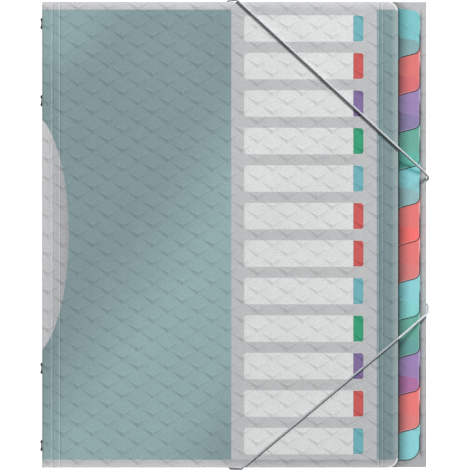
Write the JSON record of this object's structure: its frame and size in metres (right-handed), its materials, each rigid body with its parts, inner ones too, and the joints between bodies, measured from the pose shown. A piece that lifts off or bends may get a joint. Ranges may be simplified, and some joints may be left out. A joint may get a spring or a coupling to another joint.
{
  "type": "expanding divider file",
  "caption": "Closed A4 divider file: two covers hinged on a spine, tabbed dividers that fan out on a pleated gusset, corner elastics.",
  "frame": {"origin": "under the middle of the closed file, on the surface that its rest pads stand on", "axes": "+X from the spine towards the tabs, +Y up the page, +Z from the back cover to the front cover"},
  "size_m": [0.257, 0.3106, 0.0236],
  "materials": {
    "front_cover_film": "satin embossed",
    "clear_film": "satin embossed",
    "gusset_film": "satin",
    "cyan_film": "satin",
    "coral_film": "satin",
    "violet_film": "satin",
    "green_film": "satin",
    "rivet_metal": "bright",
    "elastic_cord": "woven"
  },
  "bodies": {
    "back_cover": {"back_cover": "clear_film", "elastic_rivets": "rivet_metal", "elastic_washers": "rivet_metal", "top_elastic": "elastic_cord", "bottom_elastic": "elastic_cord"},
    "spine": {"spine_panel": "clear_film", "pleated_gusset": "gusset_film", "spine_rivets": "rivet_metal", "spine_washers": "rivet_metal"},
    "front_cover": {"front_cover": "front_cover_film"},
    "divider_01": {"divider_01": "cyan_film"},
    "divider_02": {"divider_02": "coral_film"},
    "divider_03": {"divider_03": "violet_film"},
    "divider_04": {"divider_04": "green_film"},
    "divider_05": {"divider_05": "cyan_film"},
    "divider_06": {"divider_06": "coral_film"},
    "divider_07": {"divider_07": "coral_film"},
    "divider_08": {"divider_08": "cyan_film"},
    "divider_09": {"divider_09": "green_film"},
    "divider_10": {"divider_10": "violet_film"},
    "divider_11": {"divider_11": "coral_film"},
    "divider_12": {"divider_12": "cyan_film"}
  },
  "joints": [
    {"name": "spine_fold", "type": "hinge", "parent": "back_cover", "child": "spine", "pos_m": [-0.12635, 0, 0.0022], "axis": [0, -1, 0], "range_deg": [0, 90], "deforming": ["pleated_gusset", "top_elastic", "bottom_elastic"]},
    {"name": "front_fold", "type": "hinge", "parent": "spine", "child": "front_cover", "pos_m": [-0.12635, 0, 0.0214], "axis": [0, -1, 0], "range_deg": [0, 90]},
    {"name": "divider_01_turn", "type": "hinge", "parent": "spine", "child": "divider_01", "pos_m": [-0.12555, 0, 0.01958], "axis": [0, -1, 0], "range_deg": [0, 76.16]},
    {"name": "divider_02_turn", "type": "hinge", "parent": "spine", "child": "divider_02", "pos_m": [-0.12555, 0, 0.01817], "axis": [0, -1, 0], "range_deg": [0, 62.31]},
    {"name": "divider_03_turn", "type": "hinge", "parent": "spine", "child": "divider_03", "pos_m": [-0.12555, 0, 0.01675], "axis": [0, -1, 0], "range_deg": [0, 48.46]},
    {"name": "divider_04_turn", "type": "hinge", "parent": "spine", "child": "divider_04", "pos_m": [-0.12555, 0, 0.01534], "axis": [0, -1, 0], "range_deg": [0, 34.62]},
    {"name": "divider_05_turn", "type": "hinge", "parent": "spine", "child": "divider_05", "pos_m": [-0.12555, 0, 0.01392], "axis": [0, -1, 0], "range_deg": [0, 20.77]},
    {"name": "divider_06_turn", "type": "hinge", "parent": "spine", "child": "divider_06", "pos_m": [-0.12555, 0, 0.01251], "axis": [0, -1, 0], "range_deg": [0, 6.92]},
    {"name": "divider_07_turn", "type": "hinge", "parent": "spine", "child": "divider_07", "pos_m": [-0.12555, 0, 0.01109], "axis": [0, -1, 0], "range_deg": [-6.92, 0]},
    {"name": "divider_08_turn", "type": "hinge", "parent": "spine", "child": "divider_08", "pos_m": [-0.12555, 0, 0.00968], "axis": [0, -1, 0], "range_deg": [-20.77, 0]},
    {"name": "divider_09_turn", "type": "hinge", "parent": "spine", "child": "divider_09", "pos_m": [-0.12555, 0, 0.00826], "axis": [0, -1, 0], "range_deg": [-34.62, 0]},
    {"name": "divider_10_turn", "type": "hinge", "parent": "spine", "child": "divider_10", "pos_m": [-0.12555, 0, 0.00685], "axis": [0, -1, 0], "range_deg": [-48.46, 0]},
    {"name": "divider_11_turn", "type": "hinge", "parent": "spine", "child": "divider_11", "pos_m": [-0.12555, 0, 0.00543], "axis": [0, -1, 0], "range_deg": [-62.31, 0]},
    {"name": "divider_12_turn", "type": "hinge", "parent": "spine", "child": "divider_12", "pos_m": [-0.12555, 0, 0.00402], "axis": [0, -1, 0], "range_deg": [-76.16, 0]}
  ],
  "couplings": [
    {"joint": "front_fold", "follows": "spine_fold", "ratio": 1},
    {"joint": "divider_01_turn", "follows": "spine_fold", "ratio": 0.84615},
    {"joint": "divider_02_turn", "follows": "spine_fold", "ratio": 0.69231},
    {"joint": "divider_03_turn", "follows": "spine_fold", "ratio": 0.53846},
    {"joint": "divider_04_turn", "follows": "spine_fold", "ratio": 0.38461},
    {"joint": "divider_05_turn", "follows": "spine_fold", "ratio": 0.23077},
    {"joint": "divider_06_turn", "follows": "spine_fold", "ratio": 0.076923},
    {"joint": "divider_07_turn", "follows": "spine_fold", "ratio": -0.076923},
    {"joint": "divider_08_turn", "follows": "spine_fold", "ratio": -0.23077},
    {"joint": "divider_09_turn", "follows": "spine_fold", "ratio": -0.38461},
    {"joint": "divider_10_turn", "follows": "spine_fold", "ratio": -0.53846},
    {"joint": "divider_11_turn", "follows": "spine_fold", "ratio": -0.69231},
    {"joint": "divider_12_turn", "follows": "spine_fold", "ratio": -0.84615}
  ]
}
